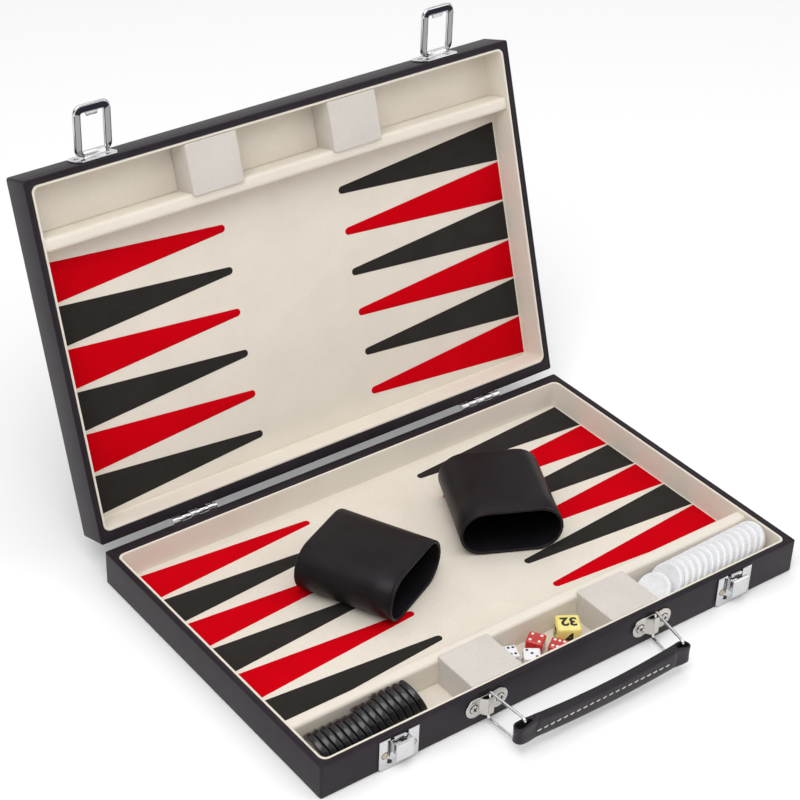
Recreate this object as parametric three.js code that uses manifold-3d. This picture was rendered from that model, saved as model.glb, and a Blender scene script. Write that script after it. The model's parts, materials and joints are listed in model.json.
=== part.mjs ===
// Attache-style backgammon set: two trays hinged into a case, with latches, a carrying handle,
// two dice cups, four dice, a doubling cube and thirty checkers in their compartments.
// Units are millimetres, +Z is up, +X runs along the hinge and the carrying handle faces -Y.
// The origin is the centre of the underside of the lower tray.
import * as THREE from 'three';
import { mergeVertices } from 'three/addons/utils/BufferGeometryUtils.js';
import Module from 'manifold-3d';

const wasm = await Module();
wasm.setup();

// Case: two equal trays
const CASE_WIDTH = 380;
const CASE_DEPTH = 243.6;
const TRAY_HEIGHT = 24.6;
const CASE_CORNER_RADIUS = 1.6;
const CASE_EDGE_ROUNDING = 0.7;
const SIDE_WALL = 6.2; // shell and lining together, at the sides and the front
const BACK_WALL = 9; // the wall that carries the hinges
const FLOOR_TOP = 4.1;
const SHELL_FLOOR = 2.6;
const LINING = 1.7;
const FIT = 0.3; // clearance between pieces that are fitted together
const SEAT = 0.05; // clearance under pieces that simply lie on the lining
const LINING_DROP = 0.4; // the lining stops this far below the rim

// Raised parts inside each tray
const DIVIDER_FRONT = 39.3; // measured from the front face of the case
const DIVIDER_THICKNESS = 9;
const DIVIDER_TOP = 22;
const DIVIDER_ROUNDING = 2.4;
const BLOCK_INNER_X = 36;
const BLOCK_OUTER_X = 75;
const BLOCK_TOP = 24.1;

// Lid hinge line and how far the lid stands open
const HINGE_Y = CASE_DEPTH / 2 + 2.2;
const HINGE_Z = 25.3;
const LID_OPEN_DEG = 107.5;
const HINGE_CENTRES = { left: -120, right: 122 };
const HINGE_WIDTH = 34;
const KNUCKLES = 5;
const KNUCKLE_GAP = 0.35;
const KNUCKLE_RADIUS = 2;
const PIN_RADIUS = 0.85;
const PIN_BORE = 1.05;

// Latches: a sprung hasp on the lid and a catch on the lower tray
const LATCH_X = 134.8;
const HASP_PIVOT_Y = -CASE_DEPTH / 2 - 3.3;
const HASP_PIVOT_Z = 35; // with the lid closed
const HASP_REST_DEG = 72.5; // swing between latched and sprung open
const HASP_LENGTH = 34.4;
const HASP_WIDTH = 26;
const HASP_BAR = 5;
const HASP_WINDOW_END = 28.4;
const HASP_THICKNESS = 1.6;
const CATCH_BOX_WIDTH = 13;
const CATCH_BOX_BOTTOM = 7;
const CATCH_BOX_TOP = 20.4;

// Carrying handle
const HANDLE_LEG_Y = -CASE_DEPTH / 2 - 3.1;
const HANDLE_REACH = 30.9;
const GRIP_Y = HANDLE_LEG_Y - HANDLE_REACH;
const HANDLE_WIRE_RADIUS = 0.95;
const HANDLE_RINGS = {
  left: { inner_x: -69.3, outer_x: -67.9 },
  right: { inner_x: 63.5, outer_x: 57.5 },
};
const RING_BOTTOM_Z = 3.95;
const RING_TOP_Z = 24.65;
const GRIP_LEFT_X = -75.5;
const GRIP_RIGHT_X = 63;
const GRIP_LEFT_SEAM = -61;
const GRIP_RIGHT_SEAM = 51;
const GRIP_THICKNESS = 6.6;
const GRIP_ENDS = { bottom: 8.4, top: 23.9 };
const GRIP_MIDDLE = { bottom: 6.1, top: 20.7 };
const LOOP_BOTTOM = 9.2;
const LOOP_TOP = 22.8;
const LOOP_RADIUS = 4;
const LOOP_WALL = 1.4;

// Dice cups, an oval section lying on its flat side
const CUP_WIDTH = 70.4;
const CUP_THICKNESS = 34.5;
const CUP_LENGTH = 71.2;
const CUP_WALL = 2.2;
const CUP_BASE = 3;
const CUPS = {
  left: { x: -54.2, y: 19.1, mouth_deg: -64.5 },
  right: { x: 60.2, y: 24.9, mouth_deg: -115.6 },
};

// Checkers stand leaning in two rows, and the fifteenth white one leans apart
const CHECKER_RADIUS = 12.5;
const CHECKER_THICKNESS = 4.5;
const CHECKER_EDGE = 0.7;
const CHECKER_SIDES = 18;
const CHECKER_GAP = 0.24;
const WHITE_ROW = { count: 14, first_x: 98.6, first_y: -98.4, last_y: -95.8, lean: 34.5 };
const WHITE_LOOSE = { x: 86.3, y: -99.6, lean: 47 };
const BLACK_ROW = { first_x: -177.2, lean: 23, rows: [[7, -101.8], [3, -98.3], [5, -95.8]] };

// Dice and doubling cube
const DIE_EDGE = 11;
const DICE = {
  white_a: { x: -28.35, y: -94.2, yaw: -22.3 },
  white_b: { x: -18.2, y: -103.6, yaw: -34.6 },
  red_a: { x: -6.65, y: -93.5, yaw: -56 },
  red_b: { x: 1.3, y: -105.8, yaw: -55 },
};
const DOUBLING_CUBE = { edge: 15.5, x: 16.3, y: -97.1, yaw: -32 };

const COLORS = {
  leatherette: ['#2b272a', 0.55, 0],
  lining: ['#e0d6c8', 0.8, 0],
  chrome: ['#d8d8da', 0.18, 1],
  leather: ['#1d1c1e', 0.45, 0],
  white_plastic: ['#f3f3f2', 0.25, 0],
  black_plastic: ['#121214', 0.25, 0],
  yellow_plastic: ['#ebd050', 0.35, 0],
  red_plastic: ['#b8120f', 0.2, 0],
};

// Turns a geometry into a closed solid for cutting and joining.
function solid(geometry) {
  const bare = geometry.clone();
  bare.deleteAttribute('normal');
  bare.deleteAttribute('uv');
  const merged = mergeVertices(bare, 1e-4);
  const vertProperties = new Float32Array(merged.attributes.position.array);
  const triVerts = new Uint32Array(merged.index.array);
  return new wasm.Manifold(new wasm.Mesh({ numProp: 3, vertProperties, triVerts }));
}

function geometryOf(manifold) {
  const mesh = manifold.getMesh();
  const geometry = new THREE.BufferGeometry();
  geometry.setAttribute('position', new THREE.BufferAttribute(new Float32Array(mesh.vertProperties), 3));
  geometry.setIndex(new THREE.BufferAttribute(new Uint32Array(mesh.triVerts), 1));
  geometry.computeVertexNormals();
  return geometry;
}

function part(name, color, manifold) {
  const [hex, roughness, metalness] = COLORS[color];
  const material = new THREE.MeshStandardMaterial({ color: hex, roughness, metalness });
  const mesh = new THREE.Mesh(geometryOf(manifold), material);
  mesh.name = name;
  return mesh;
}

function box(x0, x1, y0, y1, z0, z1) {
  const geometry = new THREE.BoxGeometry(x1 - x0, y1 - y0, z1 - z0);
  geometry.translate((x0 + x1) / 2, (y0 + y1) / 2, (z0 + z1) / 2);
  return solid(geometry);
}

function roundedRectangle(x0, x1, y0, y1, radius) {
  const shape = new THREE.Shape();
  shape.moveTo(x0 + radius, y0);
  shape.lineTo(x1 - radius, y0);
  shape.absarc(x1 - radius, y0 + radius, radius, -Math.PI / 2, 0);
  shape.lineTo(x1, y1 - radius);
  shape.absarc(x1 - radius, y1 - radius, radius, 0, Math.PI / 2);
  shape.lineTo(x0 + radius, y1);
  shape.absarc(x0 + radius, y1 - radius, radius, Math.PI / 2, Math.PI);
  shape.lineTo(x0, y0 + radius);
  shape.absarc(x0 + radius, y0 + radius, radius, Math.PI, Math.PI * 1.5);
  return shape;
}

// A flat-lying slab between two heights, with its two edges rounded over by `rounding`.
function slab(shape, z0, z1, rounding = 0, curveSegments = 3) {
  const geometry = new THREE.ExtrudeGeometry(shape, {
    depth: z1 - z0 - 2 * rounding,
    bevelEnabled: rounding > 0,
    bevelThickness: rounding,
    bevelSize: rounding,
    bevelOffset: -rounding,
    bevelSegments: 1,
    curveSegments,
  });
  geometry.translate(0, 0, z0 + rounding);
  return solid(geometry);
}

// A bar along X between two x values, drawn as a section in y and z.
function barAlongX(section, x0, x1) {
  return slab(section, x0, x1).rotate([90, 0, 90]);
}

// A plate that stands on the front or back of the case, drawn in x and z, between two y values.
function uprightPlate(shape, y0, y1, rounding = 0, curveSegments = 4) {
  return slab(shape, -y1, -y0, rounding, curveSegments).rotate([90, 0, 0]);
}

function rodAlongX(x0, x1, y, z, radius, sides = 16) {
  const geometry = new THREE.CylinderGeometry(radius, radius, x1 - x0, sides);
  geometry.rotateZ(Math.PI / 2);
  geometry.translate((x0 + x1) / 2, y, z);
  return solid(geometry);
}

function rodAlongZ(x, y, z0, z1, radius, sides = 16) {
  const geometry = new THREE.CylinderGeometry(radius, radius, z1 - z0, sides);
  geometry.rotateX(Math.PI / 2);
  geometry.translate(x, y, (z0 + z1) / 2);
  return solid(geometry);
}

const FRONT_Y = -CASE_DEPTH / 2;
const BACK_Y = CASE_DEPTH / 2;
const INNER_X = CASE_WIDTH / 2 - SIDE_WALL;
const INNER_FRONT_Y = FRONT_Y + SIDE_WALL;
const INNER_BACK_Y = BACK_Y - BACK_WALL;

function trayShell() {
  const outline = roundedRectangle(-CASE_WIDTH / 2, CASE_WIDTH / 2, FRONT_Y, BACK_Y, CASE_CORNER_RADIUS);
  const reach = LINING + FIT;
  const cavity = roundedRectangle(
    -INNER_X - reach, INNER_X + reach, INNER_FRONT_Y - reach, INNER_BACK_Y + reach, 5);
  return slab(outline, 0, TRAY_HEIGHT, CASE_EDGE_ROUNDING)
    .subtract(slab(cavity, SHELL_FLOOR, TRAY_HEIGHT + 5));
}

function trayLining() {
  const outline = roundedRectangle(
    -INNER_X - LINING, INNER_X + LINING, INNER_FRONT_Y - LINING, INNER_BACK_Y + LINING, 5);
  const cavity = roundedRectangle(-INNER_X, INNER_X, INNER_FRONT_Y, INNER_BACK_Y, 4);
  return slab(outline, SHELL_FLOOR + FIT, TRAY_HEIGHT - LINING_DROP)
    .subtract(slab(cavity, FLOOR_TOP, TRAY_HEIGHT + 5));
}

// The divider rail and the two blocks that share the front strip into three compartments.
function trayInsert() {
  const y0 = FRONT_Y + DIVIDER_FRONT;
  const bottom = FLOOR_TOP + FIT;
  const upperHalf = box(-CASE_WIDTH, CASE_WIDTH, -CASE_DEPTH, CASE_DEPTH, bottom, TRAY_HEIGHT);
  const rail = roundedRectangle(y0, y0 + DIVIDER_THICKNESS, bottom - 5, DIVIDER_TOP, DIVIDER_ROUNDING);
  let insert = barAlongX(rail, -INNER_X + FIT, INNER_X - FIT).intersect(upperHalf);
  for (const side of [-1, 1]) {
    const x0 = side < 0 ? -BLOCK_OUTER_X : BLOCK_INNER_X;
    const block = roundedRectangle(
      x0, x0 + BLOCK_OUTER_X - BLOCK_INNER_X, INNER_FRONT_Y + FIT, y0 + DIVIDER_THICKNESS / 2, 1.5);
    insert = insert.add(slab(block, bottom - 2, BLOCK_TOP, 1).intersect(upperHalf));
  }
  return insert;
}

function tray(name) {
  return [
    part(`${name}_shell`, 'leatherette', trayShell()),
    part(`${name}_lining`, 'lining', trayLining()),
    part(`${name}_insert`, 'lining', trayInsert()),
  ];
}

// One hinge leaf: a plate on the back of the case and its share of the knuckles.
function hingeLeaf(side, half) {
  const centre = HINGE_CENTRES[side];
  const left = centre - HINGE_WIDTH / 2;
  const knuckle = (HINGE_WIDTH - (KNUCKLES - 1) * KNUCKLE_GAP) / KNUCKLES;
  const onLid = half === 'lid';
  const y0 = BACK_Y + (onLid ? FIT : SEAT);
  const [z0, z1] = onLid ? [28, 42] : [9, 23];
  let leaf = uprightPlate(roundedRectangle(left, left + HINGE_WIDTH, z0, z1, 1.5), y0, y0 + 1);
  for (let i = onLid ? 1 : 0; i < KNUCKLES; i += 2) {
    const x0 = left + i * (knuckle + KNUCKLE_GAP);
    const [r0, r1] = onLid ? [HINGE_Z, z0 + 2] : [z1 - 2, HINGE_Z];
    leaf = leaf.add(box(x0, x0 + knuckle, y0, y0 + 1, r0, r1));
    leaf = leaf.add(rodAlongX(x0, x0 + knuckle, HINGE_Y, HINGE_Z, KNUCKLE_RADIUS));
  }
  if (onLid) {
    return leaf.subtract(rodAlongX(left - 1, left + HINGE_WIDTH + 1, HINGE_Y, HINGE_Z, PIN_BORE));
  }
  return leaf.add(rodAlongX(left, left + HINGE_WIDTH, HINGE_Y, HINGE_Z, PIN_RADIUS));
}

function catchPlate(x) {
  const y0 = FRONT_Y - SEAT - 1.2;
  const plate = uprightPlate(roundedRectangle(x - 14.5, x + 14.5, 0.3, 23, 3), y0, y0 + 1.2, 0.3);
  return plate.subtract(box(x - 6.5, x + 6.5, y0 - 1, y0 + 3, 20.9, 30));
}

// The sliding box of a catch. Its lower edge and left end are open for the tab of the hasp.
function catchSlide(x) {
  const x0 = x + 1 - CATCH_BOX_WIDTH / 2;
  const x1 = x0 + CATCH_BOX_WIDTH;
  const front = FRONT_Y - 6;
  const back = FRONT_Y - SEAT - 1.35;
  const body = slab(roundedRectangle(x0, x1, front, back, 0.6), CATCH_BOX_BOTTOM, CATCH_BOX_TOP, 0.5);
  const tabNotch = box(x0 - 1, x1 - 1, front + 0.9, back + 1, CATCH_BOX_BOTTOM - 1, CATCH_BOX_BOTTOM + 2.4);
  const endRecess = box(x0 - 1, x0 + 2, front + 0.9, back + 1, CATCH_BOX_BOTTOM - 1, CATCH_BOX_TOP - 1);
  return body.subtract(tabNotch).subtract(endRecess);
}

function haspBracket(x) {
  const y0 = FRONT_Y - FIT - 1;
  const shape = new THREE.Shape();
  shape.moveTo(x - 12.5, 27.2);
  shape.lineTo(x + 12.5, 27.2);
  shape.lineTo(x + 15, 32);
  shape.lineTo(x + 15, 43);
  shape.lineTo(x + 12, 47);
  shape.lineTo(x - 12, 47);
  shape.lineTo(x - 15, 43);
  shape.lineTo(x - 15, 32);
  return uprightPlate(shape, y0, y0 + 1)
    .add(rodAlongX(x - 7.6, x + 7.6, HASP_PIVOT_Y, HASP_PIVOT_Z, 2.6))
    .subtract(rodAlongX(x - 9, x + 9, HASP_PIVOT_Y, HASP_PIVOT_Z, 1.5));
}

// The hasp hangs from its pivot along -Z here, as it does when it is latched.
function haspRing() {
  const half = HASP_WIDTH / 2;
  const outline = roundedRectangle(-half, half, -HASP_LENGTH, 4, 5.5);
  const frame = uprightPlate(outline, -HASP_THICKNESS / 2, HASP_THICKNESS / 2, 0.4, 5)
    .intersect(box(-half, half, -3, 3, -HASP_LENGTH - 1, 0));
  const window = roundedRectangle(-half + HASP_BAR, half - HASP_BAR, -HASP_WINDOW_END, 4, 1.2);
  const tab = new THREE.Shape();
  tab.moveTo(-5, -HASP_WINDOW_END - 0.5);
  tab.lineTo(5, -HASP_WINDOW_END - 0.5);
  tab.lineTo(3.6, -HASP_WINDOW_END + 2.2);
  tab.lineTo(-3.6, -HASP_WINDOW_END + 2.2);
  return frame
    .subtract(uprightPlate(window, -2, 2))
    .add(uprightPlate(tab, -0.45, 0.45))
    .add(rodAlongX(-half, half, 0, 0, 1.3));
}

// A plate with two round screw lobes and a saddle that the inner leg of a ring turns in.
function handleBracket(x, z) {
  const y0 = FRONT_Y - SEAT - 1.2;
  const lobe = 7.2;
  const shape = new THREE.Shape();
  shape.absarc(x + 9.2, z, lobe, -2.3, 2.3);
  shape.absarc(x - 9.2, z, lobe, Math.PI - 2.3, Math.PI + 2.3);
  const section = roundedRectangle(x - 3.4, x + 3.4, HANDLE_LEG_Y - 2.3, y0 + 0.6, 2.2);
  const saddle = slab(section, z - 6, z + 6, 0.6);
  return uprightPlate(shape, y0, y0 + 1.2, 0.3, 7)
    .add(saddle)
    .subtract(rodAlongZ(x, HANDLE_LEG_Y, z - 12, z + 12, 1.25));
}

// A closed wire loop: an inner leg in the bracket, an outer leg in the grip and two arms.
function handleRing(ring) {
  const corner = 2;
  const path = new THREE.CurvePath();
  const points = [
    new THREE.Vector3(ring.inner_x, HANDLE_LEG_Y, RING_BOTTOM_Z),
    new THREE.Vector3(ring.inner_x, HANDLE_LEG_Y, RING_TOP_Z),
    new THREE.Vector3(ring.outer_x, GRIP_Y, RING_TOP_Z),
    new THREE.Vector3(ring.outer_x, GRIP_Y, RING_BOTTOM_Z),
  ];
  points.forEach((point, i) => {
    const next = points[(i + 1) % 4];
    const after = points[(i + 2) % 4];
    const along = next.clone().sub(point).setLength(corner);
    const away = after.clone().sub(next).setLength(corner);
    const start = point.clone().add(along);
    const bendStart = next.clone().sub(along);
    const bendEnd = next.clone().add(away);
    path.add(new THREE.LineCurve3(start, bendStart));
    path.add(new THREE.QuadraticBezierCurve3(bendStart, next, bendEnd));
  });
  const samples = [];
  for (const curve of path.curves) {
    samples.push(...curve.getPoints(curve.isLineCurve3 ? 1 : 3).slice(1));
  }
  return wireLoop(samples, HANDLE_WIRE_RADIUS, 10);
}

// A closed round wire through flat-lying points: each ring of vertices lies in the mitre plane.
function wireLoop(points, radius, sides) {
  const count = points.length;
  const edge = (i) => points[(i + 1) % count].clone().sub(points[i % count]).normalize();
  const normal = edge(0).cross(edge(2)).normalize();
  const positions = [];
  for (let i = 0; i < count; i += 1) {
    const before = edge(i + count - 1);
    const after = edge(i);
    const sideways = before.clone().add(after).normalize().cross(normal);
    const stretch = 1 / sideways.dot(after.clone().cross(normal));
    for (let k = 0; k < sides; k += 1) {
      const angle = (2 * Math.PI * k) / sides;
      const vertex = points[i].clone()
        .addScaledVector(sideways, radius * stretch * Math.cos(angle))
        .addScaledVector(normal, radius * Math.sin(angle));
      positions.push(vertex.x, vertex.y, vertex.z);
    }
  }
  const indices = [];
  for (let i = 0; i < count; i += 1) {
    for (let k = 0; k < sides; k += 1) {
      const a = i * sides + k;
      const b = i * sides + ((k + 1) % sides);
      const c = ((i + 1) % count) * sides + k;
      const d = ((i + 1) % count) * sides + ((k + 1) % sides);
      indices.push(a, c, b, b, c, d);
    }
  }
  const geometry = new THREE.BufferGeometry();
  geometry.setAttribute('position', new THREE.BufferAttribute(new Float32Array(positions), 3));
  geometry.setIndex(indices);
  return solid(geometry);
}

// The grip pad from the front: a padded strip that sags between its two seams.
function gripPad() {
  const { bottom, top } = GRIP_ENDS;
  const middle = (GRIP_LEFT_SEAM + GRIP_RIGHT_SEAM) / 2;
  const corner = 2.4;
  const bottomPull = 2 * GRIP_MIDDLE.bottom - bottom;
  const topPull = 2 * GRIP_MIDDLE.top - top;
  const shape = new THREE.Shape();
  shape.moveTo(GRIP_LEFT_SEAM + corner, bottom);
  shape.quadraticCurveTo(middle, bottomPull, GRIP_RIGHT_SEAM - corner, bottom);
  shape.quadraticCurveTo(GRIP_RIGHT_SEAM, bottom, GRIP_RIGHT_SEAM, bottom + corner);
  shape.lineTo(GRIP_RIGHT_SEAM, top - corner);
  shape.quadraticCurveTo(GRIP_RIGHT_SEAM, top, GRIP_RIGHT_SEAM - corner, top);
  shape.quadraticCurveTo(middle, topPull, GRIP_LEFT_SEAM + corner, top);
  shape.quadraticCurveTo(GRIP_LEFT_SEAM, top, GRIP_LEFT_SEAM, top - corner);
  shape.lineTo(GRIP_LEFT_SEAM, bottom + corner);
  shape.quadraticCurveTo(GRIP_LEFT_SEAM, bottom, GRIP_LEFT_SEAM + corner, bottom);
  return uprightPlate(shape, GRIP_Y - GRIP_THICKNESS / 2, GRIP_Y + GRIP_THICKNESS / 2, 1.2, 10);
}

// A leather loop from above: round at the end, narrowing to `neck` where it meets the pad.
function loopOutline(endX, seamX, radius, neck) {
  const toSeam = Math.sign(seamX - endX);
  const centre = endX + toSeam * radius;
  const shape = new THREE.Shape();
  shape.moveTo(seamX, GRIP_Y - toSeam * neck);
  shape.lineTo(seamX, GRIP_Y + toSeam * neck);
  shape.absarc(centre, GRIP_Y, radius, toSeam * Math.PI / 2, toSeam * Math.PI / 2 + Math.PI);
  return shape;
}

// The sagging pad with an open leather loop at each end for the ring legs.
function handleGrip() {
  let grip = gripPad();
  for (const [endX, seamX] of [[GRIP_LEFT_X, GRIP_LEFT_SEAM], [GRIP_RIGHT_X, GRIP_RIGHT_SEAM]]) {
    const toSeam = Math.sign(seamX - endX);
    const outline = loopOutline(endX, seamX + toSeam * 3, LOOP_RADIUS, GRIP_THICKNESS / 2 - 0.4);
    const bore = loopOutline(
      endX + toSeam * LOOP_WALL, seamX - toSeam * 1.5, LOOP_RADIUS - LOOP_WALL, LOOP_WALL);
    grip = grip.add(slab(outline, LOOP_BOTTOM, LOOP_TOP, 0.6, 8)).subtract(slab(bore, 0, 30, 0, 8));
  }
  return grip;
}

// A cup is drawn upright with its mouth up, then laid down with the mouth to the front.
function diceCup() {
  const halfWidth = CUP_WIDTH / 2;
  const halfThickness = CUP_THICKNESS / 2;
  const outer = roundedRectangle(-halfWidth, halfWidth, -halfThickness, halfThickness, halfThickness - 0.5);
  const inner = roundedRectangle(
    -halfWidth + CUP_WALL, halfWidth - CUP_WALL, -halfThickness + CUP_WALL, halfThickness - CUP_WALL,
    halfThickness - CUP_WALL - 0.5);
  return slab(outer, 0, CUP_LENGTH, 0.8, 7)
    .subtract(slab(inner, CUP_BASE, CUP_LENGTH + 5, 0, 7))
    .translate([0, 0, -CUP_LENGTH / 2])
    .rotate([90, 0, 0]);
}

function checker() {
  const r = CHECKER_RADIUS;
  const h = CHECKER_THICKNESS / 2;
  const profile = [
    new THREE.Vector2(0, -h),
    new THREE.Vector2(r - CHECKER_EDGE, -h),
    new THREE.Vector2(r, -h + CHECKER_EDGE),
    new THREE.Vector2(r, h - CHECKER_EDGE),
    new THREE.Vector2(r - CHECKER_EDGE, h),
    new THREE.Vector2(0, h),
  ];
  return solid(new THREE.LatheGeometry(profile, CHECKER_SIDES).rotateX(Math.PI / 2));
}

// Stands a checker on the tray floor, its top leaning towards +X by `lean` degrees.
function standChecker(name, color, x, y, lean) {
  const angle = THREE.MathUtils.degToRad(lean);
  const lift = CHECKER_RADIUS * Math.cos(angle) + (CHECKER_THICKNESS / 2) * Math.sin(Math.abs(angle));
  const mesh = part(name, color, checker());
  mesh.rotation.y = Math.PI / 2 + angle;
  mesh.position.set(x, y, FLOOR_TOP + SEAT + lift);
  return mesh;
}

// Spacing along X of neighbouring checkers that lean side by side.
function rowPitch(lean) {
  return (CHECKER_THICKNESS + CHECKER_GAP) / Math.cos(THREE.MathUtils.degToRad(lean));
}

function whiteCheckers() {
  const meshes = [];
  const { count, first_x, first_y, last_y, lean } = WHITE_ROW;
  for (let i = 0; i < count; i += 1) {
    const x = first_x + i * rowPitch(lean);
    const y = THREE.MathUtils.lerp(first_y, last_y, i / (count - 1));
    meshes.push(standChecker(`checker_white_${i + 1}`, 'white_plastic', x, y, lean));
  }
  const apart = WHITE_LOOSE;
  meshes.push(standChecker(`checker_white_${count + 1}`, 'white_plastic', apart.x, apart.y, apart.lean));
  return meshes;
}

function blackCheckers() {
  const meshes = [];
  const { first_x, lean, rows } = BLACK_ROW;
  for (const [count, y] of rows) {
    for (let i = 0; i < count; i += 1) {
      const x = first_x + meshes.length * rowPitch(lean);
      meshes.push(standChecker(`checker_black_${meshes.length + 1}`, 'black_plastic', x, y, -lean));
    }
  }
  return meshes;
}

function cube(name, color, edge, place, rounding) {
  const half = edge / 2;
  const outline = roundedRectangle(-half, half, -half, half, rounding + 0.4);
  const mesh = part(name, color, slab(outline, -half, half, rounding));
  mesh.position.set(place.x, place.y, FLOOR_TOP + SEAT + half);
  mesh.rotation.z = THREE.MathUtils.degToRad(place.yaw);
  return mesh;
}

function cup(side) {
  const place = CUPS[side];
  const mesh = part(`cup_${side}`, 'leather', diceCup());
  mesh.position.set(place.x, place.y, FLOOR_TOP + SEAT + CUP_THICKNESS / 2);
  mesh.rotation.z = THREE.MathUtils.degToRad(place.mouth_deg + 90);
  return mesh;
}

function lowerTray() {
  const group = new THREE.Group();
  group.add(...tray('base'));
  for (const side of ['left', 'right']) {
    const x = side === 'left' ? -LATCH_X : LATCH_X;
    group.add(part(`hinge_${side}_base_leaf`, 'chrome', hingeLeaf(side, 'base')));
    group.add(part(`catch_${side}_plate`, 'chrome', catchPlate(x)));
    group.add(part(`catch_${side}_slide`, 'chrome', catchSlide(x)));
  }
  return group;
}

// Everything on the lid is placed as if the case were closed, then swung open about the hinges.
function lid() {
  const upsideDown = new THREE.Group();
  upsideDown.rotation.y = Math.PI;
  upsideDown.position.z = 2 * HINGE_Z;
  upsideDown.add(...tray('lid'));
  const closed = new THREE.Group();
  closed.position.set(0, -HINGE_Y, -HINGE_Z);
  closed.add(upsideDown);
  for (const side of ['left', 'right']) {
    const x = side === 'left' ? -LATCH_X : LATCH_X;
    closed.add(part(`hinge_${side}_lid_leaf`, 'chrome', hingeLeaf(side, 'lid')));
    closed.add(part(`hasp_${side}_bracket`, 'chrome', haspBracket(x)));
    const ring = part(`hasp_${side}_ring`, 'chrome', haspRing());
    ring.position.set(x, HASP_PIVOT_Y, HASP_PIVOT_Z);
    ring.rotation.x = THREE.MathUtils.degToRad(-HASP_REST_DEG);
    closed.add(ring);
  }
  const open = new THREE.Group();
  open.position.set(0, HINGE_Y, HINGE_Z);
  open.rotation.x = THREE.MathUtils.degToRad(-LID_OPEN_DEG);
  open.add(closed);
  return open;
}

function carryingHandle() {
  const group = new THREE.Group();
  const middle = (RING_BOTTOM_Z + RING_TOP_Z) / 2;
  for (const side of ['left', 'right']) {
    const ring = HANDLE_RINGS[side];
    group.add(part(`handle_${side}_bracket`, 'chrome', handleBracket(ring.inner_x, middle)));
    group.add(part(`handle_${side}_ring`, 'chrome', handleRing(ring)));
  }
  group.add(part('handle_grip', 'leather', handleGrip()));
  return group;
}

function loosePieces() {
  const group = new THREE.Group();
  group.add(cup('left'), cup('right'));
  group.add(cube('doubling_cube', 'yellow_plastic', DOUBLING_CUBE.edge, DOUBLING_CUBE, 1.4));
  for (const [name, place] of Object.entries(DICE)) {
    const color = name.startsWith('white') ? 'white_plastic' : 'red_plastic';
    group.add(cube(`die_${name}`, color, DIE_EDGE, place, 1));
  }
  group.add(...whiteCheckers(), ...blackCheckers());
  return group;
}

const backgammonSet = new THREE.Group();
backgammonSet.name = 'backgammon_set';
backgammonSet.add(lowerTray(), lid(), carryingHandle(), loosePieces());

export default backgammonSet;
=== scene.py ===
import json
import math

import bmesh
import bpy
from mathutils import Matrix, Vector


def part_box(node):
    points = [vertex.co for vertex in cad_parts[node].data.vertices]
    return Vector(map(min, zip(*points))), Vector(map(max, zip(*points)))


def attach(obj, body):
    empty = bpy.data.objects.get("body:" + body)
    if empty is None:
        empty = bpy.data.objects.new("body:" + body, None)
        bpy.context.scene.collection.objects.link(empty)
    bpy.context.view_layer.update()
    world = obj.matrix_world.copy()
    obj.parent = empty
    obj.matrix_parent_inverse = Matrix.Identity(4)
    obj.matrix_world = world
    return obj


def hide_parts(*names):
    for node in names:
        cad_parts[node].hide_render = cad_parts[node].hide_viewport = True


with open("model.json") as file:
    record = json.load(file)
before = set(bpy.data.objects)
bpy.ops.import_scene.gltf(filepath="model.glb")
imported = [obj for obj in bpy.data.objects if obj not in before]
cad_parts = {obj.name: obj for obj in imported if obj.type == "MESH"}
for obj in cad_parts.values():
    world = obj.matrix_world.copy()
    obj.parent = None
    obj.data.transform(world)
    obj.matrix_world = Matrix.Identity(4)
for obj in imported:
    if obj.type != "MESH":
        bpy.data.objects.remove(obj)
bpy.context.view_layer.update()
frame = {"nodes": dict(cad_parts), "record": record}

MM = 0.001
CASE_LOW, CASE_HIGH = (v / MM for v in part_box("base_shell"))
FRONT_Y, BACK_Y = CASE_LOW.y, CASE_HIGH.y
TRAY_HEIGHT = CASE_HIGH.z
LINING_LOW, LINING_HIGH = (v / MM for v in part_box("base_lining"))
LINING_WALL = 1.7
INNER_X = LINING_HIGH.x - LINING_WALL
INNER_FRONT_Y = LINING_LOW.y + LINING_WALL
INNER_BACK_Y = LINING_HIGH.y - LINING_WALL
FLOOR_TOP = 4.1
SHELL_FLOOR = 2.6
CORNER_RADIUS = 1.8
RIM_ROLL = 0.6
BASE_ROLL = 0.9
INSERT_LOW, INSERT_HIGH = (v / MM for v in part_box("base_insert"))
RAIL_TOP = 22
RAIL_THICKNESS = 9
RAIL_FRONT_Y = INSERT_HIGH.y - RAIL_THICKNESS
RAIL_ROUNDING = 2.5
BLOCK_INNER_X = 36
BLOCK_OUTER_X = 75

HINGE = next(j for j in frame["record"]["behaviour"]["joints"] if j["name"] == "lid_hinge")
HINGE_Y, HINGE_Z = (v / MM for v in HINGE["pos_m"][1:])
LID_OPEN = math.radians(-HINGE["range_deg"][0])

POINT_FIRST = 25.5  # from the hinge side of the tray to the first point's middle
POINT_PITCH = 29.2
POINT_WIDTH = 28
POINT_TIP_X = 46.2
POINT_TIP_RADIUS = 2.6
POINTS_PER_SIDE = 6


# ---------------------------------------------------------------- placing

def lid_place():
    """Moves a piece from where it is with the case closed to where it is with the lid open."""
    pivot = Matrix.Translation(Vector((0, HINGE_Y, HINGE_Z)) * MM)
    return pivot @ Matrix.Rotation(-LID_OPEN, 4, "X") @ pivot.inverted()


def lid_tray_place():
    """Moves a piece of the lower tray to the same place in the lid."""
    flip = Matrix.Translation((0, 0, 2 * HINGE_Z * MM)) @ Matrix.Rotation(math.pi, 4, "Y")
    return lid_place() @ flip


# ---------------------------------------------------------------- materials

def blank(name):
    mat = bpy.data.materials.new(name)
    mat.use_nodes = True
    tree = mat.node_tree
    return mat, tree.nodes, tree.links, tree.nodes["Principled BSDF"]


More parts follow.
